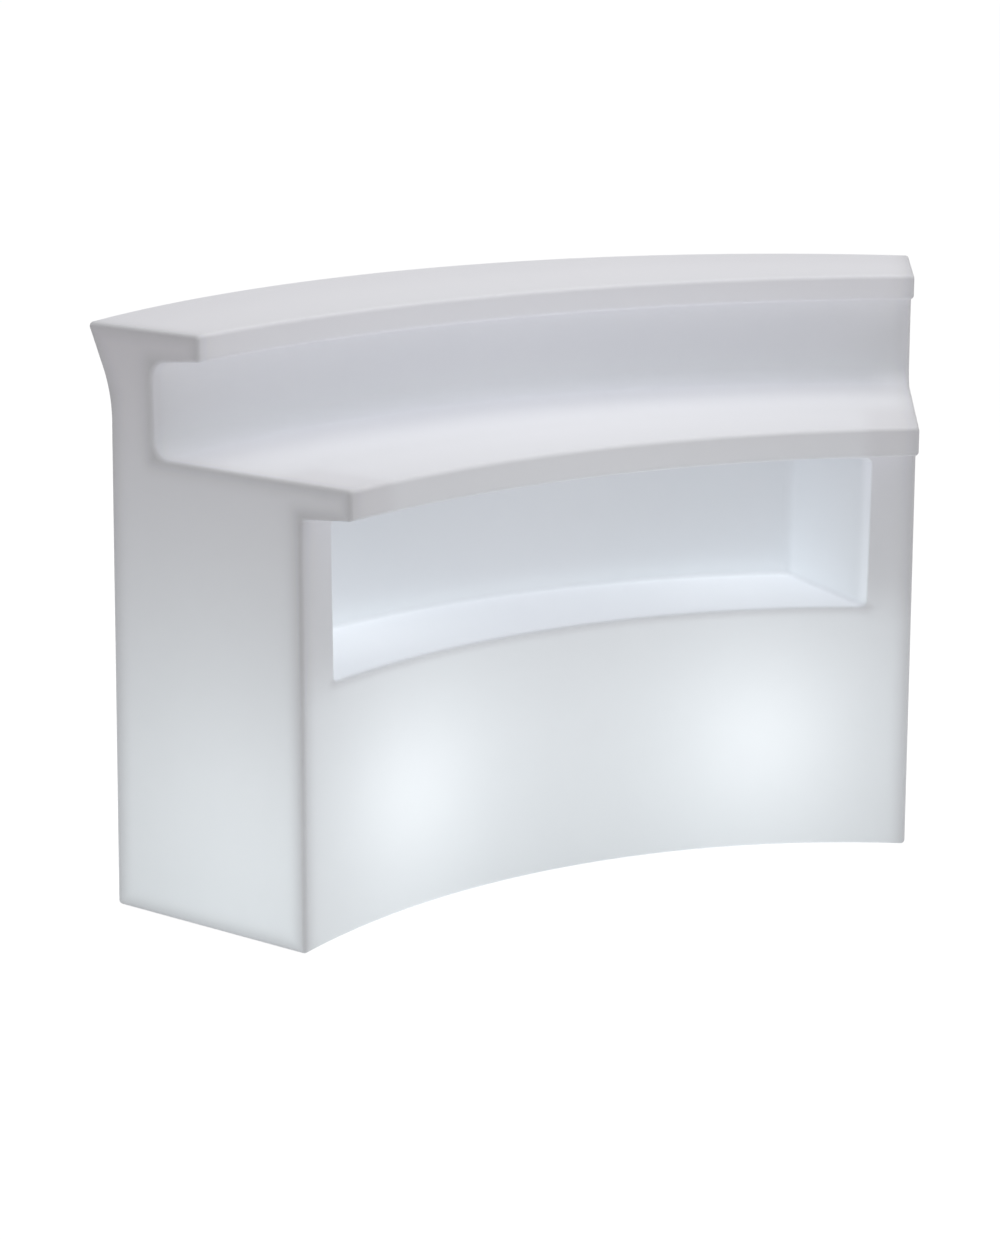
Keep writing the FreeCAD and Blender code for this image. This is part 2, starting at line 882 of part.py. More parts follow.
def whole_counter():
    """Every piece by its name, at its place in the plan."""
    pieces = {
        "counter_body": counter_body(),
        "foot_inserts": foot_inserts(),
        "hatch_inserts": hatch_inserts(),
    }
    foot = {"foot_sole": foot_sole(), "foot_pad": foot_pad(), "foot_stem": foot_stem()}
    lamp = {
        "hatch_plate": hatch_plate(),
        "hatch_gasket": hatch_gasket(),
        "hatch_screws": hatch_screws(),
        "gland_body": gland_body(),
        "gland_seal": gland_seal(),
        "gland_nut": gland_nut(),
        "gland_locknut": gland_locknut(),
        "holder_base": holder_base(),
        "holder_ring": holder_ring(),
        "holder_contacts": holder_contacts(),
        "holder_screws": holder_screws(),
        "bulb_cap": bulb_cap(),
        "bulb_body": bulb_body(),
        "bulb_globe": bulb_globe(),
    }
    for group, places in ((foot, foot_places()), (lamp, lamp_places())):
        for where, place in places.items():
            for name, shape in group.items():
                pieces[where + "_" + name] = moved(shape, place)
    return pieces


def main():
    pieces = whole_counter()
    box = pieces["counter_body"].optimalBoundingBox(False, False)
    home = flat(0, -(box.YMin + box.YMax) / 2)
    print("plan centre in the part's frame, Y", round(home.y, 3))
    for name, place in list(foot_places().items()) + list(lamp_places().items()):
        print(name, round(place.x, 3), round((place + home).y, 3))
    os.makedirs("parts", exist_ok=True)
    for name, shape in pieces.items():
        moved(shape, home).exportStep("parts/" + name + ".step")


main()
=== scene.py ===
import math

import bpy
from mathutils import Euler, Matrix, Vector


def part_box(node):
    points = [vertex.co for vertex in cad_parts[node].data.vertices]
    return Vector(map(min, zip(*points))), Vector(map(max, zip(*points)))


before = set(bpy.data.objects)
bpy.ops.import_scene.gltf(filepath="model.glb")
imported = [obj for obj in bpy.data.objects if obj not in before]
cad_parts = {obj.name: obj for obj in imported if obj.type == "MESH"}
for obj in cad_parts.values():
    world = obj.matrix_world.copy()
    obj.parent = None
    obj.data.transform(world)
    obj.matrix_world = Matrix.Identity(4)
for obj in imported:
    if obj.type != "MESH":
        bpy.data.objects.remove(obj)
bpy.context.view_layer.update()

# Finishes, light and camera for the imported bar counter. Metres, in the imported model's frame:
# X along the counter, +Y to the guests, +Z up, the origin on the floor under the middle.
TURN = 2 * math.pi
MILLIMETRE = 0.001
WHITE = (1.0, 1.0, 1.0, 1.0)

# The arcs of the inner side are drawn round this point, and each end's plane runs out from it.
PLAN_CENTRE_Y = -1.3647
HALF_SECTOR = math.radians(31.0)
END_DRAFT = math.radians(0.8)

# Outline of the counter's section: radii of its walls and levels of its surfaces. The guest
# wall's own arc is drawn round a point further to the guests, by the advance.
WORK_LIP = 1.133
INNER_WALL = 1.238
SHELF_LIP = 1.458
STEP_WALL = 1.563
GUEST_WALL = 1.419
GUEST_ADVANCE = 0.287
GUEST_LEAN = math.radians(1.2)
FLARE = math.radians(22.0)
FLARE_FOOT = 0.976
LIP_UNDERSIDE = 0.81
WORK_LEVEL = 0.869
SHELF_ROOT = 1.04
TOP_LEVEL = 1.1
NICHE_BACK = 1.483
NICHE_ROOT = 0.499
NICHE_FLOOR = 0.49
NICHE_MARGIN = 0.083

# Painted glow in the wall's emission colour, for the light that the wall lets through: what comes
# straight from a lamp, and what has bounced about near it. The blur keeps both soft where the wall
# is close, and no wall counts as closer than the nearest one.
STRAIGHT_GLOW = 0.0105
STRAIGHT_BLUR = 0.15
SCATTERED_GLOW = 0.0334
SCATTERED_BLUR = 0.30
NEAREST_WALL = 0.08

# More of it between the two lamps, low and high on the walls, on the end faces and on what
# faces up. The last two lose some again towards the top and towards the floor.
MIDDLE_GLOW = 0.055
MIDDLE_WIDTH = 0.25
MIDDLE_RISE = 0.3
LOW_GLOW = 0.040
HIGH_GLOW = 0.045
END_GLOW = 0.295
END_SHADE = 0.078
UP_GLOW = 0.008
UP_SHADE = 0.075
LEAST_FAR_GLOW = -0.03

# How squarely a wall has to face along the counter to count as an end face
END_SHARPNESS = 4.0
END_FACING = 0.8
END_FACING_FADE = 0.2

# Light that gathers in the hollow roots of the step and of the niche's back
WORK_ROOT_GLOW = 0.048
SHELF_ROOT_GLOW = 0.040
ROOT_WIDTH = 0.05
NICHE_ROOT_GLOW = 0.050
NICHE_ROOT_WIDTH = 0.03

# Colours of the light: near the lamps, what has come far, and what the upper walls add
NEAR_TINT = (1.03, 1.0, 1.01)
FAR_TINT = (0.84, 0.98, 1.03)
HIGH_TINT = (1.15, 0.88, 1.15)

# Walls that lie back in the niche and over the step get less of what has bounced about. The
# starts and stops are past the inner wall, the step wall, the end faces and the shelf's root.
RECESS_SHADE = 0.5
RECESS_HIGH_SHADE = 0.7
RECESS_FLOOR_SHARE = 0.72
RECESS_START = 0.01
RECESS_FADE = 0.02
RECESS_STOP = 0.03
RECESS_END_START = 0.004
RECESS_END_FADE = 0.016
RECESS_TOP = 0.01

# The niche keeps the lamps' light from the strips of inner wall beside it, measured from the
# end faces, up from below the niche's floor and back from the inner wall.
STRIP_SHADE = 0.40
STRIP_LEAST_SHADE = 0.06
STRIP_WIDTH = 0.11
STRIP_WIDTH_FADE = 0.03
STRIP_FOOT = NICHE_FLOOR - 0.04
STRIP_FOOT_FADE = 0.10
STRIP_BACK = 0.02
STRIP_BACK_FADE = 0.05

# Painted shade along the edges of the end faces and at the niche's mouth, where the wall is
# thicker:
# how far it reaches, the painted glow that it takes, and the darker tone that it paints on the wall
EDGE_BAND = 0.045
MOUTH_BAND = 0.018
MOUTH_SHARE = 0.6
EDGE_SHADE = 0.75
EDGE_SHADE_TONE = (0.80, 0.79, 0.82)
EDGE_SHADE_TONE_SHARE = 0.4

# Uneven thickness of the wall: cells of its noise to the metre, and the light that gets through
CLOUD_CELLS = 3.0
THICKNESS_CELLS = 18.0
BROAD_DETAIL = 3.0
PASSED_LEAST = 0.97
PASSED_BY_CLOUD = 0.04
PASSED_BY_THICKNESS = 0.02

# The moulding's satin surface and its orange peel
WALL_TONES = ((0.90, 0.905, 0.93), (0.93, 0.935, 0.955))
WALL_FINE_SHARE = 0.6
WALL_ROUGHNESS = 0.40
WALL_ROUGHNESS_RANGE = 0.10
WALL_ROUGHNESS_CELLS = 60.0
PEEL_CELLS = 260.0
PEEL_SHARE = 0.7
FINE_PEEL_CELLS = 900.0
PEEL_DEPTH = 0.12 * MILLIMETRE
PEEL_STRENGTH = 0.35

# Bulb globes: their own glow at the rim and at the crown, and the haze of the opal plastic
GLOBE_GLOWS = ((0.72, 0.75, 0.78), (0.94, 0.97, 1.0))
GLOBE_TONES = ((0.95, 0.95, 0.93), (0.98, 0.98, 0.96))
CROWN_SHARE = 0.8
HAZE_CELLS = 120.0
HAZE_DEPTH = 0.02 * MILLIMETRE
HAZE_STRENGTH = 0.3
GLOBE_ROUGHNESS = 0.30
GLOBE_ROUGHNESS_RANGE = 0.08

# What all small moulded pieces share: cells to the metre, and how uneven tone and sheen are
MOULDED_CLOUD_CELLS = 9.0
MOULDED_FLECK_CELLS = 90.0
MOULDED_CLOUD_SHARE = 0.6
MOULDED_SHEEN_CELLS = 45.0
MOULDED_SHEEN_RANGE = 0.12

# What all metal pieces share
BLOOM_CELLS = 35.0
BLOOM_SHARE = 0.7
BLOOM_RANGE = 0.10
MARK_CELLS = 700.0
MARK_RANGE = 0.16
MARK_DEPTH = 0.03 * MILLIMETRE
MARK_SHARE = 0.05

GRAIN_STRENGTH = 0.5
RIDGE_STRENGTH = 0.8

# Small moulded pieces
PAD_NYLON = {
    "tones": ((0.050, 0.050, 0.055), (0.070, 0.070, 0.075)), "roughness": 0.50, "gloss": 0.4,
    "grain_size": 0.9 * MILLIMETRE, "grain_depth": 0.05 * MILLIMETRE,
}
SOLE_RUBBER = {
    "tones": ((0.075, 0.075, 0.075), (0.105, 0.105, 0.105)), "roughness": 0.85, "gloss": 0.3,
    "grain_size": 0.6 * MILLIMETRE, "grain_depth": 0.08 * MILLIMETRE, "sheen": 0.05,
}
GASKET_RUBBER = {
    "tones": ((0.105, 0.105, 0.11), (0.135, 0.135, 0.14)), "roughness": 0.80, "gloss": 0.3,
    "grain_size": 0.4 * MILLIMETRE, "grain_depth": 0.05 * MILLIMETRE,
}
GLAND_NYLON = {
    "tones": ((0.085, 0.085, 0.09), (0.115, 0.115, 0.12)), "roughness": 0.42,
    "grain_size": 0.8 * MILLIMETRE, "grain_depth": 0.04 * MILLIMETRE,
}
HATCH_PLASTIC = {
    "tones": ((0.83, 0.84, 0.85), (0.88, 0.89, 0.90)), "roughness": 0.45,
    "grain_size": 0.8 * MILLIMETRE, "grain_depth": 0.03 * MILLIMETRE,
}
HOLDER_WHITE = {
    "tones": ((0.87, 0.87, 0.85), (0.92, 0.92, 0.90)), "roughness": 0.25,
    "grain_size": 1.5 * MILLIMETRE, "grain_depth": 0.02 * MILLIMETRE,
}
BULB_HOUSING = {
    "tones": ((0.90, 0.90, 0.89), (0.94, 0.94, 0.93)), "roughness": 0.28,
    "grain_size": 2.0 * MILLIMETRE, "grain_depth": 0.02 * MILLIMETRE,
}

# Metal pieces. The stretch draws the marks out along the axis where it is below 1.
ZINC_TONES = ((0.60, 0.61, 0.63), (0.72, 0.73, 0.74))
STEM_ZINC = {"tones": ZINC_TONES, "roughness": 0.32, "stretch": (1.0, 1.0, 0.2)}
SCREW_ZINC = {"tones": ZINC_TONES, "roughness": 0.30, "stretch": (1.0, 1.0, 0.1)}
INSERT_BRASS = {
    "tones": ((0.72, 0.57, 0.29), (0.82, 0.67, 0.37)), "roughness": 0.28,
    "stretch": (1.0, 1.0, 0.1),
}
CONTACT_BRASS = {
    "tones": ((0.76, 0.61, 0.32), (0.84, 0.71, 0.40)), "roughness": 0.22,
    "stretch": (0.2, 1.0, 1.0),
}
CAP_ALUMINIUM = {
    "tones": ((0.70, 0.71, 0.72), (0.80, 0.81, 0.82)), "roughness": 0.24,
    "stretch": (1.0, 1.0, 0.1),
}

# Threads, grips and turning marks, with the plain parts that they leave at foot and top
STEM_PITCH = 1.5 * MILLIMETRE
STEM_THREAD_DEPTH = 0.6 * STEM_PITCH
STEM_PLAIN_FOOT = 14 * MILLIMETRE
CAP_PITCH = 3.6 * MILLIMETRE
CAP_THREAD_DEPTH = 0.9 * MILLIMETRE
CAP_PLAIN_FOOT = 5 * MILLIMETRE
CAP_PLAIN_TOP = 3 * MILLIMETRE
NUT_RIDGES = 24
NUT_RIDGE_DEPTH = 0.4 * MILLIMETRE
NUT_PLAIN_END = MILLIMETRE
RING_RIDGES = 36
RING_RIDGE_DEPTH = 0.5 * MILLIMETRE
RING_PLAIN_END = 3 * MILLIMETRE
TURNING_PITCH = 1.2 * MILLIMETRE
TURNING_DEPTH = 0.04 * MILLIMETRE

SIDES = ("left", "right")
FEET = ("left_inner", "left_outer", "middle_inner", "middle_outer", "right_inner", "right_outer")

# Studio light: the world's strength, and each soft lamp's name, place, width and power
WORLD_LIGHT = 0.342
LAMP_TARGET = (0.0, 0.0, 0.6)
SOFT_LAMPS = (
    ("overhead_softbox", (0.3, -0.3, 4.2), 3.5, 42.3),
    ("right_softbox", (4.0, -3.2, 2.6), 2.5, 13.8),
)

# The floor, and what the camera sees of it: white, and a part that a shadow takes away
FLOOR_HALF = 40.0
FLOOR_TONE = (0.80, 0.80, 0.80, 1.0)
FLOOR_ROUGHNESS = 0.9
FLOOR_WHITE = 0.925
FLOOR_SHADE = (0.25, 0.25, 0.25, 1.0)

# Camera: the lens and its sensor are in millimetres.
CAMERA_PLACE = (-2.3316, -4.6335, 1.9941)
CAMERA_TILT = math.radians(73.584)
CAMERA_TURN = math.radians(-25.663)
LENS = 81.24
SENSOR_WIDTH = 36.0

# Names that the finishes use for the shader's sockets
SHADER_SOCKETS = {
    "ior": "IOR",
    "gloss": "Specular IOR Level",
    "metal": "Metallic",
    "sheen": "Sheen Weight",
    "glow": "Emission Strength",
}


class Signal:
    """A number on its way through the nodes; arithmetic on it adds Math nodes."""

    def __init__(self, graph, socket):
        self.graph = graph
        self.socket = socket

    def maths(self, operation, *values):
        return self.graph.add("ShaderNodeMath", {"operation": operation}, values)

    def __add__(self, other):
        return self.maths("ADD", self, other)

    __radd__ = __add__

    def __sub__(self, other):
        return self.maths("SUBTRACT", self, other)

    def __rsub__(self, other):
        return self.maths("SUBTRACT", other, self)

    def __mul__(self, other):
        return self.maths("MULTIPLY", self, other)

    __rmul__ = __mul__

    def __truediv__(self, other):
        return self.maths("DIVIDE", self, other)

    def __rtruediv__(self, other):
        return self.maths("DIVIDE", other, self)

    def __pow__(self, other):
        return self.maths("POWER", self, other)

    def __rpow__(self, other):
        return self.maths("POWER", other, self)

    def at_least(self, other):
        return self.maths("MAXIMUM", self, other)

    def at_most(self, other):
        return self.maths("MINIMUM", self, other)

    def size(self):
        return self.maths("ABSOLUTE", self)

    def fraction(self):
        return self.maths("FRACT", self)

    def above(self, other):
        return self.maths("GREATER_THAN", self, other)

    def angle_from(self, other):
        return self.maths("ARCTAN2", self, other)

    def clamped(self):
        return self.at_least(0.0).at_most(1.0)

    def within(self, low, high):
        """1 between two limits and 0 elsewhere."""
        return self.above(low) * (1.0 - self.above(high))

    def zigzag(self):
        """1 at each whole number, and 0 halfway between two."""
        return (self.fraction() - 0.5).size() * 2.0


class Graph:
    """The nodes of a material or of the world."""

    def __init__(self, tree):
        self.nodes = tree.nodes
        self.links = tree.links

    def add(self, kind, settings=None, sockets=(), output=0):
        """Adds a node: its kind, settings, sockets' values or links, and the output to use."""
        node = self.nodes.new(kind)
        for name, value in (settings or {}).items():
            setattr(node, name, value)
        pairs = sockets.items() if isinstance(sockets, dict) else enumerate(sockets)
        for socket, value in pairs:
            self.join(node.inputs[socket], value)
        return Signal(self, node.outputs[output])

    def join(self, socket, value):
        """Gives a socket a link or a value of its own."""
        if isinstance(value, Signal):
            self.links.new(value.socket, socket)
        else:
            socket.default_value = value

    def rays(self, *kinds):
        """Which kind of ray is looking: one signal for each kind."""
        path = self.add("ShaderNodeLightPath").socket.node.outputs
        return [Signal(self, path[f"Is {kind} Ray"]) for kind in kinds]


class Finish(Graph):
    """One procedural material: nodes that end in a principled shader."""

    def __init__(self, name, **constants):
        self.material = bpy.data.materials.new(name)
        self.material.use_nodes = True
        super().__init__(self.material.node_tree)
        self.shader = self.nodes["Principled BSDF"]
        for socket, value in constants.items():
            self.shader.inputs[SHADER_SOCKETS[socket]].default_value = value

    def give(self, socket, value):
        self.join(self.shader.inputs[socket], value)

    def place(self):
        return self.add("ShaderNodeTexCoord", output="Object")

    def facing(self):
        return self.add("ShaderNodeTexCoord", output="Normal")

    def along(self, vector):
        """The three parts of a vector."""
        split = self.add("ShaderNodeSeparateXYZ", None, [vector])
        return [Signal(self, output) for output in split.socket.node.outputs]

    def vector(self, operation, *vectors, output=0):
        return self.add("ShaderNodeVectorMath", {"operation": operation}, vectors, output)

    def tinted(self, share, tint):
        """A colour, made stronger or weaker by a share."""
        return self.add("ShaderNodeVectorMath", {"operation": "SCALE"},
                        {"Vector": tint, "Scale": share})

    def noise(self, cells, detail=2.0, stretch=None):
        """Cloudy noise, 0 to 1, with some number of cells to the metre."""
        place = self.place()
        if stretch:
            place = self.vector("MULTIPLY", place, stretch)
        return self.add("ShaderNodeTexNoise", None,
                        {"Vector": place, "Scale": cells, "Detail": detail})

    def blend(self, share, first, second):
        """Colour that goes from the first to the second as the share goes from 0 to 1."""
        ends = [(*end, 1.0) if isinstance(end, tuple) else end for end in (first, second)]
        factor, low, high, colour = 0, 6, 7, 2
        return self.add("ShaderNodeMix", {"data_type": "RGBA"},
                        {factor: share, low: ends[0], high: ends[1]}, colour)

    def relief(self, height, depth, strength):
        """Dents and ridges: the height goes from 0 to 1, and the depth is its real size."""
        sockets = {"Strength": strength, "Distance": depth, "Height": height}
        self.give("Normal", self.add("ShaderNodeBump", None, sockets))

    def round_axis(self, axis):
        """Turn about an upright axis, one whole number for each full turn, and the height."""
        x, y, z = self.along(self.place())
        return (y - axis[1]).angle_from(x - axis[0]) / TURN, z

    def thread(self, axis, pitch, low, high):
        """Height, 0 to 1, of a screw thread round an upright axis between two levels."""
        turned, z = self.round_axis(axis)
        return (z / pitch - turned).zigzag() * z.within(low, high)

    def grip(self, axis, count, low, high):
        """Height, 0 to 1, of upright ridges round an axis between two levels."""
        turned, z = self.round_axis(axis)
        return (1.0 - (turned * float(count)).zigzag()) * z.within(low, high)

    def rings(self, axis, pitch):
        """Height, 0 to 1, of fine turning marks round an upright axis."""
        x, y, _ = self.along(self.place())
        return (apart(x - axis[0], y - axis[1]) / pitch).zigzag()


def axis_of(node):
    """Middle of a node's box in the plan."""
    low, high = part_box(node)
    return (low[0] + high[0]) / 2, (low[1] + high[1]) / 2


def lamp_centres():
    """Middles of the two bulb globes."""
    centres = []
    for side in SIDES:
        low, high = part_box(f"{side}_bulb_globe")
        centres.append(tuple((low[i] + high[i]) / 2 for i in range(3)))
    return centres


def past(value, limit):
    """How far a value goes past a limit, and zero below it."""
    return (value - limit).at_least(0.0)


def apart(first, second):
    """Length of the slant side over two sides at a right angle."""
    return (first * first + second * second) ** 0.5


def bell(squared):
    """1 where a squared distance is zero, fading out as it grows."""
    return math.e ** (0.0 - squared)


def end_depth(x, row, z):
    """Distance from the nearer end face, inwards. The row is Y from the plan's centre."""
    return (row * math.sin(HALF_SECTOR) - x.size() * math.cos(HALF_SECTOR)
            - z * math.tan(END_DRAFT))


def outline_depth(x, row, z, reach):
    """Distance from the outline of the section, inwards. The reach is the radius in the plan."""
    guest_line = (GUEST_WALL + past(FLARE_FOOT - z, 0.0) * math.tan(GUEST_LEAN)
                  + past(z, FLARE_FOOT) * math.tan(FLARE))
    below_work = past(WORK_LEVEL - z, 0.0)
    depth = (guest_line - apart(x, row - GUEST_ADVANCE)).at_most(z).at_most(TOP_LEVEL - z)
    depth = depth.at_most(reach - WORK_LIP)
    depth = depth.at_most(apart(past(reach, INNER_WALL), past(z, LIP_UNDERSIDE)))
    depth = depth.at_most(apart(past(reach, SHELF_LIP), below_work))
    return depth.at_most(apart(past(reach, STEP_WALL), below_work + past(z, SHELF_ROOT)))


def root_share(reach, z, wall, level, width):
    """Share, 0 to 1, that fades round a hollow edge, given its radius in the plan and its level."""
    across = (reach - wall) / width
    above = (z - level) / width
    return bell(across * across + above * above)


def recess_share(reach, depth, z):
    """Share, 0 to 1, of the walls that lie back between the ends, in the niche and the step."""
    behind = (past(reach, INNER_WALL + RECESS_START) / RECESS_FADE).at_most(1.0)
    before_guests = 1.0 - reach.above(STEP_WALL + RECESS_STOP)
    between_ends = (past(depth, RECESS_END_START) / RECESS_END_FADE).at_most(1.0)
    below_shelf = 1.0 - z.above(SHELF_ROOT + RECESS_TOP)
    return behind * before_guests * between_ends * below_shelf


def strip_share(reach, depth, z):
    """Share, 0 to 1, of the strips of inner wall beside the niche."""
    aside = ((STRIP_WIDTH - depth) / STRIP_WIDTH_FADE).clamped()
    up = ((z - STRIP_FOOT) / STRIP_FOOT_FADE).clamped()
    in_front = (1.0 - past(reach, INNER_WALL + STRIP_BACK) / STRIP_BACK_FADE).clamped()
    return aside * up * in_front


def edge_shade_share(x, row, z, reach, depth):
    """Share, 0 to 1, of painted shade along the end faces' edges and the niche's mouth."""
    inwards = outline_depth(x, row, z, reach).at_least(depth).at_least(0.0)
    painted_edge_shade = (1.0 - inwards / EDGE_BAND).clamped()
    mouth = apart(reach - INNER_WALL, z - NICHE_FLOOR) + past(NICHE_MARGIN - depth, 0.0)
    return painted_edge_shade * painted_edge_shade + (1.0 - mouth / MOUTH_BAND).clamped() * MOUTH_SHARE


def lamp_light(finish, place, facing):
    """Shares of painted glow: what would reach a wall straight from the lamps, and what has bounced
    about near them.
    """
    straight = 0.0
    scattered = 0.0
    for centre in lamp_centres():
        ray = finish.vector("SUBTRACT", place, centre)
        distance = finish.vector("LENGTH", ray, output="Value").at_least(NEAREST_WALL)
        slant = finish.vector("DOT_PRODUCT", ray, facing, output="Value").at_least(0.0)
        straight = straight + slant / (distance * distance + STRAIGHT_BLUR ** 2) ** 1.5
        scattered = scattered + 1.0 / (distance * distance + SCATTERED_BLUR ** 2)
    return straight, scattered


def polyethylene():
    """Satin white moulding: faint orange peel, mottled wall, and the lamps' light in it, painted
    into its emission colour as a glow with painted shade.
    """
    finish = Finish("white_polyethylene", ior=1.5, gloss=0.3, glow=1.0)
    place = finish.place()
    facing = finish.facing()
    x, y, z = finish.along(place)
    facing_x, _, facing_z = finish.along(facing)
    row = y - PLAN_CENTRE_Y
    reach = apart(x, row)
    depth = end_depth(x, row, z)

    low_share = (1.0 - z / TOP_LEVEL).clamped()
    end_share = facing_x.size() ** END_SHARPNESS
    up_share = facing_z.clamped()
    off_end = ((END_FACING - facing_x.size()) / END_FACING_FADE).clamped()
    from_middle = x / MIDDLE_WIDTH
    middle = bell(from_middle * from_middle) * low_share * (z / MIDDLE_RISE).at_most(1.0)
    set_back = recess_share(reach, depth, z) * (1.0 - up_share * RECESS_FLOOR_SHARE)
    lit = 1.0 - strip_share(reach, depth, z) * (off_end * STRIP_SHADE + STRIP_LEAST_SHADE)

    shelf_root = root_share(reach, z, STEP_WALL, SHELF_ROOT, ROOT_WIDTH)
    work_root = root_share(reach, z, STEP_WALL, WORK_LEVEL, ROOT_WIDTH)
    niche_root = root_share(reach, z, NICHE_BACK, NICHE_ROOT, NICHE_ROOT_WIDTH)

    straight, scattered = lamp_light(finish, place, facing)
    near = ((straight * STRAIGHT_GLOW + low_share * low_share * LOW_GLOW) * lit
            + middle * MIDDLE_GLOW
            + shelf_root * off_end * SHELF_ROOT_GLOW)
    far = (scattered * SCATTERED_GLOW * (1.0 - set_back * RECESS_SHADE) * lit
           + end_share * (low_share * END_GLOW - END_SHADE)
           + up_share * (UP_GLOW - low_share * UP_SHADE)
           + work_root * off_end * WORK_ROOT_GLOW
           + niche_root * off_end * NICHE_ROOT_GLOW)
    high = z * (HIGH_GLOW / TOP_LEVEL) * (1.0 - set_back * RECESS_HIGH_SHADE)

    cloud = finish.noise(CLOUD_CELLS, BROAD_DETAIL)
    thickness = finish.noise(THICKNESS_CELLS)
    # Painted shade along the edges: it takes away some of the painted glow.
    painted_edge_shade = edge_shade_share(x, row, z, reach, depth)
    passed = PASSED_LEAST + PASSED_BY_CLOUD * cloud + PASSED_BY_THICKNESS * thickness
    passed = passed * (1.0 - EDGE_SHADE * painted_edge_shade)
    # The wall's glow is painted light: the lamps' light through the wall, and its shade, worked out
    # from each point's place and put into the emission colour.
    glow = (0.0, 0.0, 0.0)
    for share, tint in ((near, NEAR_TINT), (far.at_least(LEAST_FAR_GLOW), FAR_TINT),
                        (high, HIGH_TINT)):
        glow = finish.vector("ADD", finish.tinted(share * passed, tint), glow)
    finish.give("Emission Color", glow)

    tone = finish.blend(thickness * WALL_FINE_SHARE + cloud * (1 - WALL_FINE_SHARE), *WALL_TONES)
    # The same painted shade darkens the base colour along the edges.
    finish.give("Base Color", finish.blend(painted_edge_shade * EDGE_SHADE_TONE_SHARE, tone, EDGE_SHADE_TONE))
    sheen = finish.noise(WALL_ROUGHNESS_CELLS, BROAD_DETAIL)
    finish.give("Roughness", WALL_ROUGHNESS + WALL_ROUGHNESS_RANGE * sheen)
    peel = (finish.noise(PEEL_CELLS) * PEEL_SHARE
            + finish.noise(FINE_PEEL_CELLS, 1.0) * (1 - PEEL_SHARE))
    finish.relief(peel, PEEL_DEPTH, PEEL_STRENGTH)
    return finish.material


def dress(node, material):
    """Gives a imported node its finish."""
    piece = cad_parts[node]
    piece.data.materials.clear()
    piece.data.materials.append(material)


def moulded(name, tones, roughness, grain_size, grain_depth, relief=None, **constants):
    """Moulded plastic or rubber: clouded tone, uneven sheen and a fine grain."""
    finish = Finish(name, **constants)
    cloud = finish.noise(MOULDED_CLOUD_CELLS, BROAD_DETAIL)
    fleck = finish.noise(MOULDED_FLECK_CELLS)
    share = cloud * MOULDED_CLOUD_SHARE + fleck * (1 - MOULDED_CLOUD_SHARE)
    finish.give("Base Color", finish.blend(share, *tones))
    sheen = finish.noise(MOULDED_SHEEN_CELLS, BROAD_DETAIL) - 0.5
    finish.give("Roughness", roughness + MOULDED_SHEEN_RANGE * sheen)
    grain = finish.noise(1.0 / grain_size)
    if relief is None:
        finish.relief(grain, grain_depth, GRAIN_STRENGTH)
    else:
        ridges, height = relief(finish)
        finish.relief(ridges + grain * (grain_depth / height), height, RIDGE_STRENGTH)
    return finish.material


def metal(name, tones, roughness, stretch, relief=None):
    """Metal with drawn or turned marks, and a slight bloom on its colour."""
    finish = Finish(name, metal=1.0)
    bloom = finish.noise(BLOOM_CELLS, BROAD_DETAIL)
    marks = finish.noise(MARK_CELLS, stretch=stretch)
    finish.give("Base Color", finish.blend(bloom * BLOOM_SHARE + marks * (1 - BLOOM_SHARE), *tones))
    finish.give("Roughness", roughness + MARK_RANGE * (marks - 0.5) + BLOOM_RANGE * (bloom - 0.5))
    if relief is None:
        finish.relief(marks, MARK_DEPTH, GRAIN_STRENGTH)
    else:
        ridges, height = relief(finish)
        finish.relief(ridges + marks * MARK_SHARE, height, RIDGE_STRENGTH)
    return finish.material


def opal_globe():
    """Opal diffuser, lit from its own inside and a little brighter at its crown."""
    finish = Finish("opal_globe", ior=1.5, glow=1.0)
    _, _, z = finish.along(finish.place())
    low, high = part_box("left_bulb_globe")
    crown = ((z - low[2]) / (high[2] - low[2])).clamped()
    haze = finish.noise(HAZE_CELLS)
    finish.give("Base Color", finish.blend(haze, *GLOBE_TONES))
    share = crown * CROWN_SHARE + haze * (1 - CROWN_SHARE)
    finish.give("Emission Color", finish.blend(share, *GLOBE_GLOWS))
    finish.give("Roughness", GLOBE_ROUGHNESS + GLOBE_ROUGHNESS_RANGE * haze)
    finish.relief(haze, HAZE_DEPTH, HAZE_STRENGTH)
    return finish.material


def foot_finishes():
    """Levelling feet: black nylon pads on rubber soles, zinc plated stems with their threads."""
    nylon = moulded("black_nylon", **PAD_NYLON)
    rubber = moulded("sole_rubber", **SOLE_RUBBER)
    for foot in FEET:
        dress(f"{foot}_foot_pad", nylon)
        dress(f"{foot}_foot_sole", rubber)
        stem = f"{foot}_foot_stem"
        low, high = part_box(stem)
        axis = axis_of(stem)

        def stem_thread(finish):
            ridges = finish.thread(axis, STEM_PITCH, low[2] + STEM_PLAIN_FOOT, high[2])
            return ridges, STEM_THREAD_DEPTH

        dress(stem, metal(f"zinc_plating_{foot}", relief=stem_thread, **STEM_ZINC))


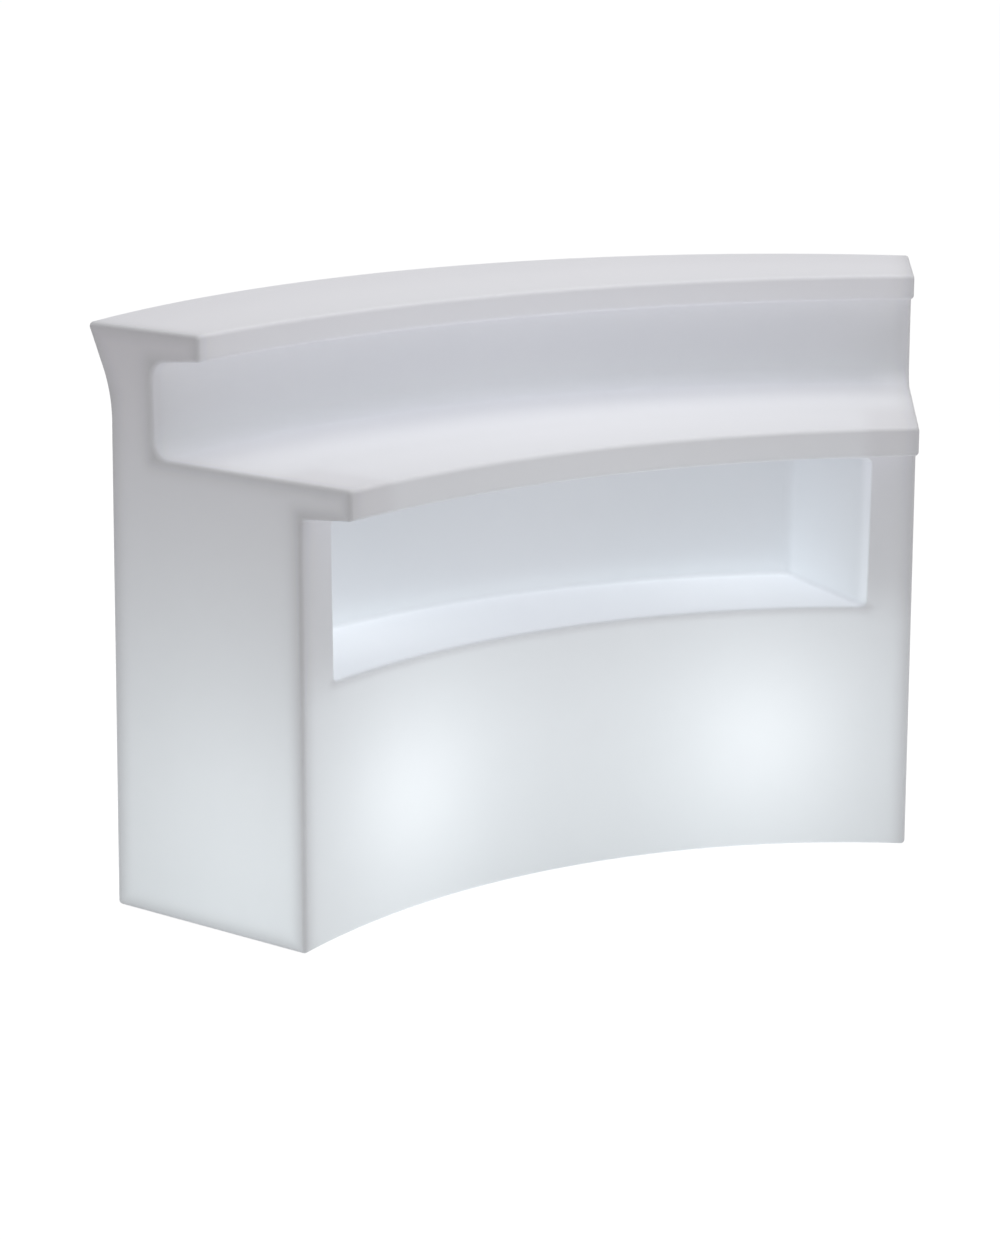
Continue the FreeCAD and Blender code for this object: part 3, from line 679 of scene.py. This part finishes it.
def lamp_finishes():
    """Hatch, cord gland, lamp holder and bulb of each side."""
    screws = metal("zinc_plated_screws", **SCREW_ZINC)
    sheet = moulded("gasket_sheet", **GASKET_RUBBER)
    porcelain = moulded("white_holder", **HOLDER_WHITE)
    contacts = metal("bright_brass", **CONTACT_BRASS)
    housing = moulded("bulb_housing", **BULB_HOUSING)
    globe = opal_globe()
    for side in SIDES:
        hatch_axis = axis_of(f"{side}_hatch_plate")
        gland_axis = axis_of(f"{side}_gland_nut")
        nut_low, nut_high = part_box(f"{side}_gland_nut")
        ring_low, ring_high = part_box(f"{side}_holder_ring")
        cap_low, cap_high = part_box(f"{side}_bulb_cap")

        def turning_marks(finish):
            return finish.rings(hatch_axis, TURNING_PITCH), TURNING_DEPTH

        def nut_grip(finish):
            low, high = nut_low[2] + NUT_PLAIN_END, nut_high[2] - NUT_PLAIN_END
            return finish.grip(gland_axis, NUT_RIDGES, low, high), NUT_RIDGE_DEPTH

        def ring_grip(finish):
            low, high = ring_low[2] + RING_PLAIN_END, ring_high[2] - RING_PLAIN_END
            return finish.grip(hatch_axis, RING_RIDGES, low, high), RING_RIDGE_DEPTH

        def cap_thread(finish):
            low, high = cap_low[2] + CAP_PLAIN_FOOT, cap_high[2] - CAP_PLAIN_TOP
            return finish.thread(hatch_axis, CAP_PITCH, low, high), CAP_THREAD_DEPTH

        plate = moulded(f"{side}_hatch_plastic", relief=turning_marks, **HATCH_PLASTIC)
        gland = moulded(f"{side}_gland_nylon", relief=nut_grip, **GLAND_NYLON)
        ring = moulded(f"{side}_holder_ring_plastic", relief=ring_grip, **HOLDER_WHITE)
        cap = metal(f"{side}_cap_aluminium", relief=cap_thread, **CAP_ALUMINIUM)
        for node, material in (("hatch_plate", plate), ("hatch_gasket", sheet),
                               ("hatch_screws", screws), ("gland_body", gland),
                               ("gland_seal", sheet), ("gland_nut", gland),
                               ("gland_locknut", gland), ("holder_base", porcelain),
                               ("holder_ring", ring), ("holder_contacts", contacts),
                               ("holder_screws", screws), ("bulb_cap", cap),
                               ("bulb_body", housing), ("bulb_globe", globe)):
            dress(f"{side}_{node}", material)


def make_finishes():
    dress("counter_body", polyethylene())
    brass = metal("turned_brass", **INSERT_BRASS)
    dress("foot_inserts", brass)
    dress("hatch_inserts", brass)
    foot_finishes()
    lamp_finishes()


def floor_and_backdrop():
    """Pale floor that keeps a faint shadow, on a white background."""
    mesh = bpy.data.meshes.new("floor")
    corners = [(-FLOOR_HALF, -FLOOR_HALF, 0), (FLOOR_HALF, -FLOOR_HALF, 0),
               (FLOOR_HALF, FLOOR_HALF, 0), (-FLOOR_HALF, FLOOR_HALF, 0)]
    mesh.from_pydata(corners, [], [(0, 1, 2, 3)])
    floor = bpy.data.objects.new("floor", mesh)
    bpy.context.scene.collection.objects.link(floor)

    paint = Finish("studio_floor")
    paint.give("Roughness", FLOOR_ROUGHNESS)
    paint.give("Base Color", FLOOR_TONE)
    camera_ray, glossy_ray, passing_ray = paint.rays("Camera", "Glossy", "Transmission")
    seen = (camera_ray + glossy_ray + passing_ray).clamped()
    white = paint.add("ShaderNodeEmission", None, {"Color": WHITE, "Strength": FLOOR_WHITE})
    shadow = paint.add("ShaderNodeBsdfDiffuse", None, {"Color": FLOOR_SHADE})
    shown = paint.add("ShaderNodeAddShader", None, [white, shadow])
    shaded = Signal(paint, paint.shader.outputs["BSDF"])
    mixed = paint.add("ShaderNodeMixShader", None, [seen, shaded, shown])
    paint.join(paint.nodes["Material Output"].inputs["Surface"], mixed)
    mesh.materials.append(paint.material)


def world_light():
    """Even light on the counter, and a white background for the camera."""
    world = bpy.data.worlds.new("studio")
    bpy.context.scene.world = world
    world.use_nodes = True
    graph = Graph(world.node_tree)
    graph.nodes.clear()
    camera_ray, passing_ray = graph.rays("Camera", "Transmission")
    lit = graph.add("ShaderNodeBackground", None, {"Color": WHITE, "Strength": WORLD_LIGHT})
    backdrop = graph.add("ShaderNodeBackground", None, {"Color": WHITE, "Strength": 1.0})
    mixed = graph.add("ShaderNodeMixShader", None,
                      [camera_ray.at_least(passing_ray), lit, backdrop])
    graph.join(graph.nodes.new("ShaderNodeOutputWorld").inputs["Surface"], mixed)


def soft_lamp(name, place, width, power):
    """Round soft lamp that looks at the counter's middle."""
    lamp = bpy.data.lights.new(name, "AREA")
    lamp.shape = "DISK"
    lamp.size = width
    lamp.energy = power
    holder = bpy.data.objects.new(name, lamp)
    holder.location = place
    sight = Vector(LAMP_TARGET) - Vector(place)
    holder.rotation_euler = sight.to_track_quat("-Z", "Y").to_euler()
    bpy.context.scene.collection.objects.link(holder)


def studio():
    world_light()
    for lamp in SOFT_LAMPS:
        soft_lamp(*lamp)


def camera():
    lens = bpy.data.cameras.new("camera")
    lens.lens = LENS
    lens.sensor_width = SENSOR_WIDTH
    holder = bpy.data.objects.new("camera", lens)
    holder.location = CAMERA_PLACE
    holder.rotation_euler = Euler((CAMERA_TILT, 0.0, CAMERA_TURN))
    bpy.context.scene.collection.objects.link(holder)
    bpy.context.scene.camera = holder


make_finishes()
floor_and_backdrop()
studio()
camera()
bpy.context.scene.view_settings.view_transform = "Standard"
